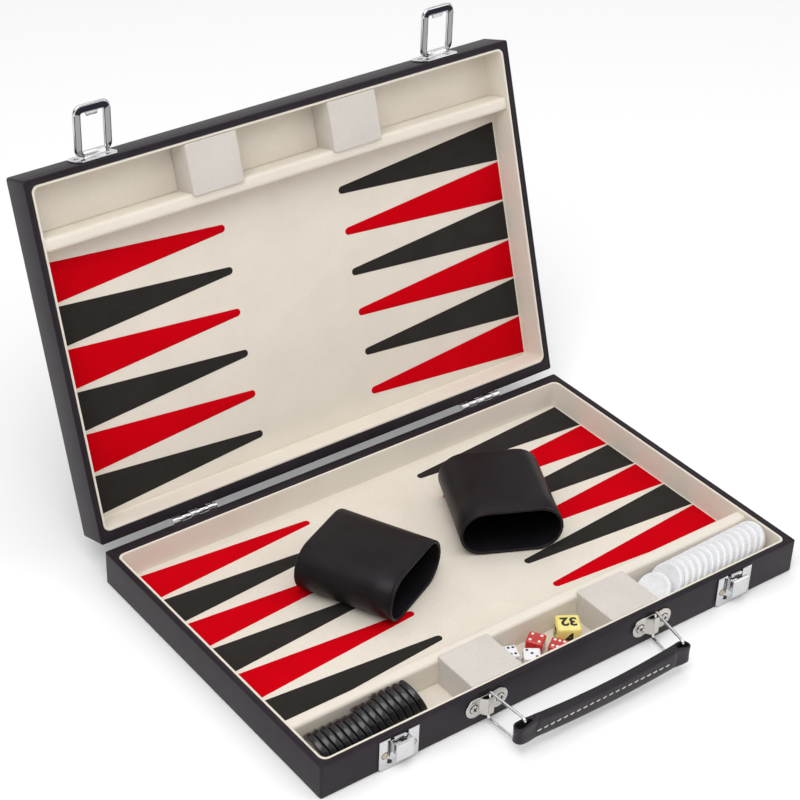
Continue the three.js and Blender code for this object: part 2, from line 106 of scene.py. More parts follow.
def texture(nodes, links, kind, scale, stretch=(1, 1, 1), **settings):
    coords = nodes.new("ShaderNodeTexCoord")
    mapping = nodes.new("ShaderNodeMapping")
    mapping.inputs["Scale"].default_value = stretch
    links.new(coords.outputs["Object"], mapping.inputs["Vector"])
    node = nodes.new(kind)
    node.inputs["Scale"].default_value = scale
    for key, value in settings.items():
        node.inputs[key.replace("_", " ")].default_value = value
    links.new(mapping.outputs["Vector"], node.inputs["Vector"])
    return node


def ramp(nodes, links, source, stops):
    node = nodes.new("ShaderNodeValToRGB")
    links.new(source, node.inputs["Fac"])
    elements = node.color_ramp.elements
    elements[0].position, elements[0].color = stops[0][0], (*stops[0][1], 1)
    elements[1].position, elements[1].color = stops[-1][0], (*stops[-1][1], 1)
    for position, color in stops[1:-1]:
        elements.new(position).color = (*color, 1)
    return node.outputs["Color"]


def spread(nodes, links, source, low, high):
    node = nodes.new("ShaderNodeMapRange")
    node.inputs["To Min"].default_value = low
    node.inputs["To Max"].default_value = high
    links.new(source, node.inputs["Value"])
    return node.outputs["Result"]


def bump(nodes, links, shader, heights, distance):
    """Adds surface relief from one or more (source, strength) pairs."""
    previous = None
    for source, strength in heights:
        node = nodes.new("ShaderNodeBump")
        node.inputs["Strength"].default_value = strength
        node.inputs["Distance"].default_value = distance
        links.new(source, node.inputs["Height"])
        if previous:
            links.new(previous, node.inputs["Normal"])
        previous = node.outputs["Normal"]
    links.new(previous, shader.inputs["Normal"])


def leather(name, dark, light, roughness, grain, depth, specular=0.22):
    mat, nodes, links, shader = blank(name)
    cloud = texture(nodes, links, "ShaderNodeTexNoise", 45, Detail=5, Roughness=0.6)
    color = ramp(nodes, links, cloud.outputs["Fac"], [(0.3, dark), (0.7, light)])
    links.new(color, shader.inputs["Base Color"])
    pebbles = texture(nodes, links, "ShaderNodeTexVoronoi", grain)
    fine = texture(nodes, links, "ShaderNodeTexNoise", grain * 2.2, Detail=3)
    rough = spread(nodes, links, pebbles.outputs["Distance"], roughness - 0.05, roughness + 0.1)
    links.new(rough, shader.inputs["Roughness"])
    relief = [(pebbles.outputs["Distance"], depth), (fine.outputs["Fac"], depth * 0.5)]
    bump(nodes, links, shader, relief, 0.0002)
    shader.inputs["Specular IOR Level"].default_value = specular
    shader.inputs["Specular Tint"].default_value = (1, 0.87, 0.98, 1)
    return mat


def cloth(name, dark, light, relief, sheen, specular=0.2, fibre=2600):
    mat, nodes, links, shader = blank(name)
    cloud = texture(nodes, links, "ShaderNodeTexNoise", 38, Detail=6, Roughness=0.65)
    nap = texture(nodes, links, "ShaderNodeTexNoise", fibre, stretch=(1, 0.45, 1), Detail=4)
    mix = nodes.new("ShaderNodeMix")
    mix.inputs["Factor"].default_value = 0.7
    links.new(cloud.outputs["Fac"], mix.inputs["A"])
    links.new(nap.outputs["Fac"], mix.inputs["B"])
    color = ramp(nodes, links, mix.outputs["Result"], [(0.34, dark), (0.66, light)])
    links.new(color, shader.inputs["Base Color"])
    shader.inputs["Roughness"].default_value = 0.92
    shader.inputs["Specular IOR Level"].default_value = specular
    shader.inputs["Sheen Weight"].default_value = sheen
    shader.inputs["Sheen Roughness"].default_value = 0.5
    pile = [(nap.outputs["Fac"], relief), (cloud.outputs["Fac"], relief * 0.4)]
    bump(nodes, links, shader, pile, 0.0003)
    return mat


def metal(name, color, low, high):
    mat, nodes, links, shader = blank(name)
    shader.inputs["Metallic"].default_value = 1
    cloud = texture(nodes, links, "ShaderNodeTexNoise", 160, Detail=5)
    brushed = texture(nodes, links, "ShaderNodeTexNoise", 900, stretch=(1, 1, 0.12), Detail=3)
    shade = tuple(c * 0.93 for c in color)
    tone = ramp(nodes, links, cloud.outputs["Fac"], [(0.35, shade), (0.65, color)])
    links.new(tone, shader.inputs["Base Color"])
    links.new(spread(nodes, links, brushed.outputs["Fac"], low, high), shader.inputs["Roughness"])
    bump(nodes, links, shader, [(cloud.outputs["Fac"], 0.03), (brushed.outputs["Fac"], 0.015)], 0.0003)
    return mat


def plastic(name, dark, light, roughness, coat=0.3, subsurface=0.0):
    mat, nodes, links, shader = blank(name)
    cloud = texture(nodes, links, "ShaderNodeTexNoise", 120, Detail=4)
    tone = ramp(nodes, links, cloud.outputs["Fac"], [(0.35, dark), (0.65, light)])
    links.new(tone, shader.inputs["Base Color"])
    scuffs = texture(nodes, links, "ShaderNodeTexNoise", 700, stretch=(1, 0.3, 1), Detail=4)
    rough = spread(nodes, links, scuffs.outputs["Fac"], roughness - 0.05, roughness + 0.12)
    links.new(rough, shader.inputs["Roughness"])
    bump(nodes, links, shader, [(cloud.outputs["Fac"], 0.03), (scuffs.outputs["Fac"], 0.02)], 0.0002)
    shader.inputs["Coat Weight"].default_value = coat
    shader.inputs["Coat Roughness"].default_value = 0.12
    shader.inputs["Subsurface Weight"].default_value = subsurface
    shader.inputs["Subsurface Radius"].default_value = (0.004, 0.002, 0.001)
    return mat


def thread(name, color):
    mat, nodes, links, shader = blank(name)
    twist = texture(nodes, links, "ShaderNodeTexWave", 900, Distortion=0.6)
    shade = tuple(c * 0.7 for c in color)
    tone = ramp(nodes, links, twist.outputs["Fac"], [(0.2, shade), (0.8, color)])
    links.new(tone, shader.inputs["Base Color"])
    shader.inputs["Roughness"].default_value = 0.75
    bump(nodes, links, shader, [(twist.outputs["Fac"], 0.4)], 0.0002)
    return mat


LEATHERETTE = leather("black_leatherette", (0.013, 0.010, 0.013), (0.021, 0.017, 0.021), 0.40, 1500, 0.2)
GRIP_LEATHER = leather("grip_leather", (0.009, 0.009, 0.010), (0.018, 0.017, 0.020), 0.34, 1300, 0.2, 0.3)
CUP_LEATHER = leather("cup_leather", (0.006, 0.0055, 0.006), (0.012, 0.011, 0.012), 0.36, 1900, 0.14, 0.2)
CUP_INSIDE = leather("cup_inside", (0.003, 0.003, 0.004), (0.008, 0.007, 0.008), 0.62, 1600, 0.2, 0.15)
LINING = cloth("cream_suede", (0.70, 0.645, 0.555), (0.80, 0.745, 0.655), 0.22, 0.08)
BLOCK_SUEDE = cloth("pale_suede", (0.55, 0.51, 0.465), (0.67, 0.63, 0.585), 0.3, 0.08)
PLAY_FELT = cloth("cream_felt", (0.68, 0.62, 0.535), (0.79, 0.73, 0.645), 0.26, 0.1)
RED_FELT = cloth("red_felt", (0.47, 0.0, 0.003), (0.62, 0.0003, 0.008), 0.35, 0, 0.03)
BLACK_FELT = cloth("black_felt", (0.014, 0.0125, 0.011), (0.030, 0.027, 0.024), 0.5, 0.05, 0.1)
CHROME = metal("chrome_plate", (0.66, 0.66, 0.67), 0.06, 0.15)
# Painted highlight: a brighter copy of the chrome, so hinges, hasp mounts and handle wires read white.
PAINTED_HIGHLIGHT_CHROME = metal("chrome_painted_highlight", (0.86, 0.86, 0.87), 0.1, 0.2)
# Painted reflection: a grey copy of the chrome for bands of the hasp rings.
PAINTED_GREY_REFLECTION = metal("chrome_painted_grey_reflection", (0.34, 0.33, 0.33), 0.08, 0.16)
# Painted reflection: a near-black copy of the chrome for bands of the hasp rings and the hasp tab's edges.
PAINTED_DARK_REFLECTION = metal("chrome_painted_dark_reflection", (0.022, 0.022, 0.032), 0.06, 0.12)
NICKEL = metal("nickel_plate", (0.60, 0.57, 0.54), 0.12, 0.24)
RIVET_METAL = metal("nickel_rivet", (0.50, 0.43, 0.33), 0.2, 0.34)
# Painted shade: near-black steel for the shadow in screw recesses, round screw heads, and in the catch slots
# and openings.
PAINTED_SHADE_METAL = metal("shadowed_steel", (0.045, 0.042, 0.04), 0.4, 0.6)
WHITE_PLASTIC = plastic("white_plastic", (0.76, 0.765, 0.785), (0.82, 0.825, 0.845), 0.24, 0.3, 0.1)
BLACK_PLASTIC = plastic("black_plastic", (0.004, 0.004, 0.005), (0.009, 0.009, 0.010), 0.2, 0.1)
YELLOW_PLASTIC = plastic("yellow_plastic", (0.80, 0.67, 0.19), (0.88, 0.76, 0.26), 0.34, 0.2, 0.1)
RED_PLASTIC = plastic("red_plastic", (0.44, 0.008, 0.008), (0.58, 0.016, 0.014), 0.2, 0.5, 0.1)
INK_BLACK = plastic("black_ink", (0.006, 0.006, 0.006), (0.012, 0.012, 0.011), 0.5, 0.0)
INK_WHITE = plastic("white_ink", (0.78, 0.74, 0.70), (0.86, 0.83, 0.79), 0.4, 0.0)
STITCHING = thread("white_thread", (0.72, 0.71, 0.68))


# ---------------------------------------------------------------- mesh helpers

def settle(mesh, sharp):
    work = bmesh.new()
    work.from_mesh(mesh)
    bmesh.ops.recalc_face_normals(work, faces=work.faces)
    work.to_mesh(mesh)
    work.free()
    mesh.shade_smooth()
    mesh.set_sharp_from_angle(angle=math.radians(sharp))


def add(name, mesh, materials, body, nodes=(), place=None, sharp=35):
    """Puts a finished mesh, in metres, in the scene as a piece that rides on a body."""
    if place is not None:
        mesh.transform(place)
    for mat in materials:
        mesh.materials.append(mat)
    settle(mesh, sharp)
    obj = bpy.data.objects.new(name, mesh)
    bpy.context.scene.collection.objects.link(obj)
    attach(obj, body)
    if nodes:
        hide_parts(*nodes)
    return obj


def mesh_of(name, verts, faces):
    mesh = bpy.data.meshes.new(name)
    mesh.from_pydata([tuple(c * MM for c in v) for v in verts], [], faces)
    return mesh


def joined_as_is(name, meshes):
    """One mesh from several whose faces already have their material numbers."""
    work = bmesh.new()
    for mesh in meshes:
        work.from_mesh(mesh)
        bpy.data.meshes.remove(mesh)
    result = bpy.data.meshes.new(name)
    work.to_mesh(result)
    work.free()
    return result


def joined(name, meshes):
    """One mesh from several, each given one material number."""
    work = bmesh.new()
    for index, mesh in meshes:
        first = len(work.faces)
        work.from_mesh(mesh)
        work.faces.ensure_lookup_table()
        for face in work.faces[first:]:
            face.material_index = index
        bpy.data.meshes.remove(mesh)
    result = bpy.data.meshes.new(name)
    work.to_mesh(result)
    work.free()
    return result


def rounded_rectangle(x0, x1, y0, y1, radius, steps=6):
    points = []
    radius = max(radius, 0.02)
    corners = [(x1 - radius, y0 + radius, -90), (x1 - radius, y1 - radius, 0),
               (x0 + radius, y1 - radius, 90), (x0 + radius, y0 + radius, 180)]
    for cx, cy, start in corners:
        for i in range(steps + 1):
            angle = math.radians(start + 90 * i / steps)
            points.append((cx + radius * math.cos(angle), cy + radius * math.sin(angle)))
    return points


def inset(bounds, radius, amount, steps=6):
    x0, x1, y0, y1 = bounds
    return rounded_rectangle(x0 + amount, x1 - amount, y0 + amount, y1 - amount, radius - amount, steps)


def loft(name, loops, around=False):
    """Skin over closed loops of equal length; around joins the last loop to the first."""
    count = len(loops[0])
    verts = [v for loop in loops for v in loop]
    faces = []
    pairs = len(loops) if around else len(loops) - 1
    for a in range(pairs):
        b = (a + 1) % len(loops)
        for i in range(count):
            j = (i + 1) % count
            faces.append((a * count + i, a * count + j, b * count + j, b * count + i))
    if not around:
        faces.append(tuple(reversed(range(count))))
        faces.append(tuple(range((len(loops) - 1) * count, len(loops) * count)))
    return mesh_of(name, verts, faces)


def arc(steps, start, stop):
    return [math.radians(start + (stop - start) * i / steps) for i in range(steps + 1)]


def quarter(steps, start, stop, radius):
    """(in, down) pairs round an edge: all the way in at 90 degrees, all the way down at 0."""
    return [(radius * (1 - math.cos(a)), radius * (1 - math.sin(a))) for a in arc(steps, start, stop)]


def at_height(points, z):
    return [(x, y, z) for x, y in points]


def prism(name, points, low, high, edge, place=lambda x, y, z: (x, y, z), segments=3):
    """A flat solid over an outline, with its long edges rounded by `edge`."""
    loops = []
    flat = [Vector(p) for p in points]

    def shrink(amount):
        out = []
        for i, p in enumerate(flat):
            before = (p - flat[i - 1]).normalized()
            after = (flat[(i + 1) % len(flat)] - p).normalized()
            normal = Vector((-(before.y + after.y), before.x + after.x))
            normal.normalize()
            lean = max(0.4, normal.dot(Vector((-after.y, after.x))))
            out.append(p + normal * amount / lean)
        return out

    for across, drop in quarter(segments, 90, 0, edge):
        loops.append([(p.x, p.y, low + drop) for p in shrink(across)])
    for across, drop in quarter(segments, 0, 90, edge):
        loops.append([(p.x, p.y, high - drop) for p in shrink(across)])
    return loft(name, [[place(*v) for v in loop] for loop in loops])


def upright(x, y, z):
    """Turns a plate drawn in x and y with its thickness in z into one that stands facing -Y."""
    return (x, -z, y)


def turned(name, profile, segments):
    """A body of revolution from (radius, height) pairs; profile ends on the axis."""
    verts, faces = [], []
    rings = []
    for r, h in profile:
        if r < 1e-6:
            rings.append([len(verts)])
            verts.append((0, 0, h))
            continue
        rings.append(list(range(len(verts), len(verts) + segments)))
        for i in range(segments):
            a = 2 * math.pi * i / segments
            verts.append((r * math.cos(a), r * math.sin(a), h))
    for a, b in zip(rings, rings[1:]):
        for i in range(segments):
            j = (i + 1) % segments
            if len(a) == 1:
                faces.append((a[0], b[i], b[j]))
            elif len(b) == 1:
                faces.append((a[i], a[j], b[0]))
            else:
                faces.append((a[i], a[j], b[j], b[i]))
    return mesh_of(name, verts, faces)


def polished_copy(name, node, edge, material, body):
    """The CAD solid of a metal piece with its edges rounded."""
    source = frame["nodes"][node]
    work = bmesh.new()
    work.from_mesh(source.data)
    bmesh.ops.remove_doubles(work, verts=work.verts, dist=1e-6)
    bmesh.ops.dissolve_limit(work, angle_limit=math.radians(1), verts=work.verts, edges=work.edges)
    steep = math.radians(40)
    sharp_edges = [e for e in work.edges if len(e.link_faces) == 2 and e.calc_face_angle(0) > steep]
    bmesh.ops.bevel(
        work, geom=sharp_edges, offset=edge * MM, segments=2, profile=0.6, affect="EDGES", clamp_overlap=True)
    mesh = bpy.data.meshes.new(name)
    work.to_mesh(mesh)
    work.free()
    add(name, mesh, [material], body, (node,), sharp=30)


# ---------------------------------------------------------------- case

def rolled(bounds, radius, roll, z, start, stop, steps=4):
    """Loops round the edge between a wall and a level face; a negative `roll` leans outwards."""
    return [at_height(inset(bounds, radius, math.copysign(across, roll)), z - drop)
            for across, drop in quarter(steps, start, stop, abs(roll))]


def shell_mesh(name):
    outer = (CASE_LOW.x, CASE_HIGH.x, FRONT_Y, BACK_Y)
    reach = LINING_WALL + 0.15
    inner = (-INNER_X - reach, INNER_X + reach, INNER_FRONT_Y - reach, INNER_BACK_Y + reach)
    loops = []
    for across, rise in quarter(4, 90, 0, BASE_ROLL):
        loops.append(at_height(inset(outer, CORNER_RADIUS, across), rise))
    loops.append(at_height(inset(outer, CORNER_RADIUS, 0), TRAY_HEIGHT / 2))
    loops += rolled(outer, CORNER_RADIUS, RIM_ROLL, TRAY_HEIGHT, 0, 90)
    for across, depth in ((1.45, 0), (1.6, 0.22), (1.75, 0)):
        loops.append(at_height(inset(outer, CORNER_RADIUS, across), TRAY_HEIGHT - depth))
    loops += rolled(inner, 4.6, -0.4, TRAY_HEIGHT, 90, 0, 3)
    loops.append(at_height(inset(inner, 4.6, 0), SHELL_FLOOR))
    return loft(name, loops)


def mitre_mesh(name):
    """The covering is folded at each corner of the rim: a thin raised seam across the corner."""
    seams = []
    for side_x in (-1, 1):
        for outer_y, inner_y in ((FRONT_Y, LINING_LOW.y), (BACK_Y, LINING_HIGH.y)):
            start = Vector((side_x * (CASE_HIGH.x - 0.6), outer_y + math.copysign(0.6, -outer_y)))
            stop = Vector((side_x * (LINING_HIGH.x + 1.2), inner_y + math.copysign(1.2, outer_y)))
            across = (stop - start).orthogonal().normalized() * 0.16
            corners = [start - across, stop - across, stop + across, start + across]
            seams.append((0, prism("seam", corners, TRAY_HEIGHT - 0.2, TRAY_HEIGHT + 0.06, 0.05, segments=1)))
    return joined(name, seams)


def lining_mesh(name):
    outer = (LINING_LOW.x, LINING_HIGH.x, LINING_LOW.y, LINING_HIGH.y)
    inner = (-INNER_X, INNER_X, INNER_FRONT_Y, INNER_BACK_Y)
    top = LINING_HIGH.z
    floor = FLOOR_TOP - 0.35
    loops = [at_height(inset(outer, 5, 0), LINING_LOW.z)]
    loops += rolled(outer, 5, 0.45, top, 0, 90, 3)
    loops += rolled(inner, 4, -0.45, top, 90, 0, 3)
    for across, rise in quarter(3, 0, 90, 0.8):
        loops.append(at_height(inset(inner, 4, across), floor + rise))
    return loft(name, loops)


def play_surface_mesh(name):
    """The felt-covered board that lies on the tray floor behind the divider."""
    outline = rounded_rectangle(
        -INNER_X + 0.7, INNER_X - 0.7, RAIL_FRONT_Y + RAIL_THICKNESS + 0.3, INNER_BACK_Y - 0.7, 3.4)
    return prism(name, outline, LINING_LOW.z + 0.4, FLOOR_TOP - 0.05, 0.35)


def compartment_floor_mesh(name, x0, x1):
    outline = rounded_rectangle(x0 + 0.5, x1 - 0.5, INNER_FRONT_Y + 0.7, RAIL_FRONT_Y - 0.4, 1)
    return prism(name, outline, LINING_LOW.z + 0.4, FLOOR_TOP - 0.05, 0.35)


def rail_mesh(name):
    y0, y1 = RAIL_FRONT_Y, RAIL_FRONT_Y + RAIL_THICKNESS
    z0 = INSERT_LOW.z - 0.3
    section = [(y1, z0)]
    section += [(y1 - across, RAIL_TOP - drop) for across, drop in quarter(6, 0, 90, RAIL_ROUNDING)]
    section += [(y0 + across, RAIL_TOP - drop) for across, drop in quarter(6, 90, 0, RAIL_ROUNDING)]
    section.append((y0, z0))
    half = INNER_X - 0.2
    return loft(name, [[(x, y, z) for y, z in section] for x in (-half, half)])


def block_mesh(name, x0, x1):
    back_y, corner = RAIL_FRONT_Y + 1.5, 1.1
    outline = rounded_rectangle(x0, x1, INSERT_LOW.y, back_y, corner, 3)
    loops = [at_height(outline, INSERT_LOW.z - 0.3)]
    for across, drop in quarter(4, 0, 90, 0.9):
        ring = rounded_rectangle(x0 + across, x1 - across, INSERT_LOW.y + across, back_y, corner, 3)
        loops.append(at_height(ring, INSERT_HIGH.z - drop))
    return loft(name, loops)


def felt_point_mesh(name, side, y):
    """A long rounded triangle of felt from the side wall towards the middle."""
    base_x, tip_x = INNER_X - 0.9, POINT_TIP_X + POINT_TIP_RADIUS
    half = POINT_WIDTH / 2
    slope = math.atan2(half - POINT_TIP_RADIUS, base_x - tip_x)
    points = [(base_x, -half), (base_x, half)]
    for angle in arc(8, 90 + math.degrees(slope), 270 - math.degrees(slope)):
        points.append((tip_x + POINT_TIP_RADIUS * math.cos(angle), POINT_TIP_RADIUS * math.sin(angle)))
    outline = [(side * px, y + py) for px, py in points]
    if side < 0:
        outline.reverse()
    return prism(name, outline, FLOOR_TOP - 0.4, FLOOR_TOP + 0.12, 0.1, segments=2)


def tray(half, place, left_first):
    """One tray's pieces. left_first is the colour nearest the hinges on the left side."""
    shell = shell_mesh("shell")
    add(f"{half}_case_shell", shell, [LEATHERETTE], half, (f"{half}_shell",), place)
    add(f"{half}_rim_mitres", mitre_mesh("mitres"), [LEATHERETTE], half, (), place)
    add(f"{half}_case_lining", lining_mesh("lining"), [LINING], half, (f"{half}_lining",), place)
    rail = rail_mesh("rail")
    add(f"{half}_divider_rail", rail, [LINING], half, (f"{half}_insert",), place)
    add(f"{half}_play_surface", play_surface_mesh("surface"), [PLAY_FELT], half, (), place)
    spans = {"left": (-INNER_X, -BLOCK_OUTER_X), "centre": (-BLOCK_INNER_X, BLOCK_INNER_X),
             "right": (BLOCK_OUTER_X, INNER_X)}
    for name, (x0, x1) in spans.items():
        mesh = compartment_floor_mesh("floor", x0, x1)
        add(f"{half}_compartment_floor_{name}", mesh, [PLAY_FELT], half, (), place)
    for name, x0 in (("left", -BLOCK_OUTER_X), ("right", BLOCK_INNER_X)):
        mesh = block_mesh("block", x0, x0 + BLOCK_OUTER_X - BLOCK_INNER_X)
        add(f"{half}_block_{name}", mesh, [BLOCK_SUEDE], half, (), place)
    mirrored = -1 if half == "lid" else 1
    for k in range(POINTS_PER_SIDE):
        y = BACK_Y - POINT_FIRST - POINT_PITCH * k
        for name, side in (("left", -1), ("right", 1)):
            red = (k % 2 == 0) == (left_first == "red")
            if side > 0:
                red = not red
            mesh = felt_point_mesh("point", side * mirrored, y)
            mat = RED_FELT if red else BLACK_FELT
            color = "red" if red else "black"
            add(f"{half}_point_{name}_{k + 1}_{color}", mesh, [mat], half, (), place, sharp=50)


# ---------------------------------------------------------------- metalwork

def screw(name, body, place, radius, material=CHROME, phillips=True):
    """A domed screw head, or a flatter plain rivet, ringed by a disc of painted shade where the countersink's
    shadow falls; a screw's cross recess is two bars of painted shade.
    """
    height = radius * (0.34 if phillips else 0.16)
    profile = [(0, 0), (radius * 0.86, 0), (radius * 0.86, height * 0.35), (radius * 0.76, height * 0.72),
               (radius * 0.5, height * 0.94), (0, height)]
    # The ring of painted shade round the head.
    sink = [(0, -0.05), (radius, -0.05), (radius, 0.07), (0, 0.07)]
    parts = [(0, turned(name, profile, 32)), (1, turned(name, sink, 32))]
    # The cross recess: two raised bars of painted shade.
    if phillips:
        for turn in (0, 90):
            bar = rounded_rectangle(-radius * 0.5, radius * 0.5, -radius * 0.13, radius * 0.13, 0.1, 2)
            arm = prism("arm", bar, height * 0.7, height * 1.03, 0.03)
            arm.transform(Matrix.Rotation(math.radians(turn), 4, "Z"))
            parts.append((1, arm))
    mesh = joined(name, parts)
    add(name, mesh, [material, PAINTED_SHADE_METAL], body, (), place)


def facing_front(x, y, z, turn=0):
    spin = Matrix.Rotation(math.radians(turn), 4, "Z")
    return Matrix.Translation(Vector((x, y, z)) * MM) @ Matrix.Rotation(math.pi / 2, 4, "X") @ spin


def facing_back(x, y, z, turn=0):
    spin = Matrix.Rotation(math.radians(turn), 4, "Z")
    return Matrix.Translation(Vector((x, y, z)) * MM) @ Matrix.Rotation(-math.pi / 2, 4, "X") @ spin


def hinges():
    for side in ("left", "right"):
        low, high = (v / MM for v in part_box(f"hinge_{side}_base_leaf"))
        for name, leaf, body in (("lower", "base_leaf", "base"), ("upper", "lid_leaf", "lid")):
            # The leaves are the brighter copy of the chrome: painted highlight.
            polished_copy(f"hinge_{side}_{name}", f"hinge_{side}_{leaf}", 0.2, PAINTED_HIGHLIGHT_CHROME, body)
        centre = (low.x + high.x) / 2
        for i, offset in enumerate((-11, 0, 11)):
            drop = 0 if offset else -2.5
            screw(f"hinge_{side}_lower_screw_{i + 1}", "base",
                  facing_back(centre + offset, BACK_Y + 1.05, 15.5 + drop, 20 * i), 1.7)
            screw(f"hinge_{side}_upper_screw_{i + 1}", "lid",
                  lid_place() @ facing_back(centre + offset, BACK_Y + 1.3, 35.5 - drop, 30 * i), 1.7)


def painted_shade_inlay(name, body, outline, front_y):
    """A thin sheet of painted shade standing for an opening, drawn in x and z on a face that looks to the
    front.
    """
    mesh = prism(name, outline, -front_y - 0.2, -front_y + 0.05, 0.02, upright, 1)
    add(name, mesh, [PAINTED_SHADE_METAL], body)


def catch_plate_mesh(name, x, low, high):
    outline = [(x - 6.6, 20.9), (x - 6.6, high.z), (x - 14.5, high.z)]
    outline += [(x - 14.5 + 3 * (1 + math.cos(a)), low.z + 3 * (1 + math.sin(a))) for a in arc(5, 180, 270)]
    outline += [(x + 14.5 - 3 * (1 - math.cos(a)), low.z + 3 * (1 + math.sin(a))) for a in arc(5, 270, 360)]
    outline += [(x + 14.5, high.z), (x + 6.6, high.z), (x + 6.6, 20.9)]
    return prism(name, outline, -high.y, -low.y, 0.4, upright)


def catches():
    for side in ("left", "right"):
        low, high = (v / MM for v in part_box(f"catch_{side}_plate"))
        x = (low.x + high.x) / 2
        add(f"catch_{side}_cover", catch_plate_mesh("plate", x, low, high), [CHROME], "base",
            (f"catch_{side}_plate",))
        polished_copy(f"catch_{side}_box", f"catch_{side}_slide", 0.45, CHROME, f"catch_{side}")
        box_low, box_high = (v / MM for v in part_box(f"catch_{side}_slide"))
        tongue_outline = rounded_rectangle(x - 4.3, x + 4.3, 21.1, high.z - 0.1, 0.3, 3)
        tongue = prism("tongue", tongue_outline, -high.y + 0.1, -box_low.y - 3.4, 0.2, upright)
        add(f"catch_{side}_tongue", tongue, [CHROME], f"catch_{side}")
        # The slot in the box top is a thin sheet of painted shade.
        slot_outline = rounded_rectangle(
            box_low.x + 4.2, box_low.x + 8.8, box_low.y + 1.4, box_low.y + 2.9, 0.2, 3)
        slot_mesh = prism("slot_shade", slot_outline, box_high.z - 0.3, box_high.z + 0.03, 0.02)
        add(f"catch_{side}_slot", slot_mesh, [PAINTED_SHADE_METAL], f"catch_{side}")
        for offset in (-10.3, 10.3):
            which = "outer" if (offset < 0) == (side == "left") else "inner"
            screw(f"catch_{side}_rivet_{which}", "base", facing_front(x + offset, low.y + 0.05, 11.5), 2.6,
                  RIVET_METAL, phillips=False)
        # The hole in the plate and the slide's track are sheets of painted shade.
        notch = ((-8.7, 4.4), (-5.2, 3.1), (-5.2, 5.6), (-8.5, 8.2))
        notch = [(x + across, low.z + up) for across, up in notch]
        painted_shade_inlay(f"catch_{side}_plate_hole_shade", "base", notch, low.y)
        track_shade = rounded_rectangle(x - 7.4, x - 6.7, 9.5, high.z - 1.2, 0.3, 3)
        painted_shade_inlay(f"catch_{side}_track", "base", track_shade, low.y)


HASP_BAR = 5.6
HASP_WINDOW_END = 28.4  # from the pivot to the crossbar
HASP_THICKNESS = 2.4


def hasp_ring_mesh(name, width, length):
    """A pressed ring hanging from its pivot along local -Z; bands of its faces carry painted grey and dark
    reflections.
    """
    half = width / 2
    outer = (-half, half, -length, 1.3)
    inner = (-half + HASP_BAR, half - HASP_BAR, -HASP_WINDOW_END, -1.3)
    loops = []
    depth = HASP_THICKNESS / 2
    for angle in arc(6, 90, -90):
        ring = inset(outer, 6.2, depth * 0.9 * (1 - math.cos(angle)), 7)
        loops.append([(x, -depth * math.sin(angle), z) for x, z in ring])
    for angle in arc(6, -90, 90):
        ring = inset(inner, 1.0, -depth * 0.9 * (1 - math.cos(angle)), 7)
        loops.append([(x, -depth * math.sin(angle), z) for x, z in ring])
    mesh = loft(name, loops, around=True)
    count = len(loops[0])
    # Painted reflections: the flat faces get grey chrome; the crossbar's flat faces and the rows beside the
    # flat faces get dark chrome.
    for face in mesh.polygons:
        strip = face.index // count
        crossbar = face.center.z < -HASP_WINDOW_END * MM
        if strip in (6, 13):
            face.material_index = 2 if crossbar else 1
        elif strip in (0, 5, 7, 12) and not crossbar:
            face.material_index = 2
    return mesh


def hasps():
    for side in ("left", "right"):
        joint = next(j for j in frame["record"]["behaviour"]["joints"] if j["name"] == f"hasp_{side}_hinge")
        pivot = Vector(joint["pos_m"])
        low, high = (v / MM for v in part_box(f"hasp_{side}_ring"))
        length = high.z - pivot.z / MM
        ring = hasp_ring_mesh("ring", high.x - low.x + 1, length)
        tab_points = [(-5, -29.4), (5, -29.4), (3.75, -25.95), (-3.75, -25.95)]
        tab = prism("tab", tab_points, -0.5, 0.5, 0.2, upright, 2)
        # The tab's edges get a painted dark reflection; its two flat faces stay plain chrome.
        for face in tab.polygons:
            face.material_index = 0 if abs(face.normal.y) > 0.9 else 2
        mesh = joined_as_is("hasp", [ring, tab])
        stand = Matrix.Translation(pivot) @ Matrix.Rotation(math.pi, 4, "X")
        # The ring's second and third materials are painted grey and dark reflections.
        add(f"hasp_{side}_loop", mesh, [CHROME, PAINTED_GREY_REFLECTION, PAINTED_DARK_REFLECTION], f"hasp_{side}",
            (f"hasp_{side}_ring",), stand)
        # The mount is the brighter copy of the chrome: painted highlight.
        polished_copy(f"hasp_{side}_mount", f"hasp_{side}_bracket", 0.3, PAINTED_HIGHLIGHT_CHROME, "lid")
        for i, offset in enumerate((-11.2, 11.2)):
            place = lid_place() @ facing_front(pivot.x / MM + offset, FRONT_Y - 1.25, 38.5)
            screw(f"hasp_{side}_rivet_{i + 1}", "lid", place, 2.1, RIVET_METAL, phillips=False)


def tube_loop(name, corners, radius, bend, sides=16, bend_steps=6):
    """A closed round wire with rounded corners."""
    count = len(corners)
    path = []
    for i, corner in enumerate(corners):
        before = (corners[i - 1] - corner).normalized() * bend
        after = (corners[(i + 1) % count] - corner).normalized() * bend
        for k in range(bend_steps + 1):
            t = k / bend_steps
            a = corner + before
            b = corner + after
            path.append(a * (1 - t) ** 2 + corner * 2 * t * (1 - t) + b * t ** 2)
    normal = (corners[1] - corners[0]).cross(corners[2] - corners[1]).normalized()
    loops = []
    for i, point in enumerate(path):
        ahead = (path[(i + 1) % len(path)] - point).normalized()
        behind = (point - path[i - 1]).normalized()
        sideways = (ahead + behind).normalized().cross(normal)
        loops.append([tuple(point + sideways * radius * math.cos(a) + normal * radius * math.sin(a))
                      for a in (2 * math.pi * k / sides for k in range(sides))])
    return loft(name, loops, around=True)


HANDLE_RINGS = {"left": (-69.3, -67.9), "right": (63.5, 57.5)}
HANDLE_LEG_Y = FRONT_Y - 3.1
HANDLE_REACH = 30.9
WIRE_RADIUS = 0.95


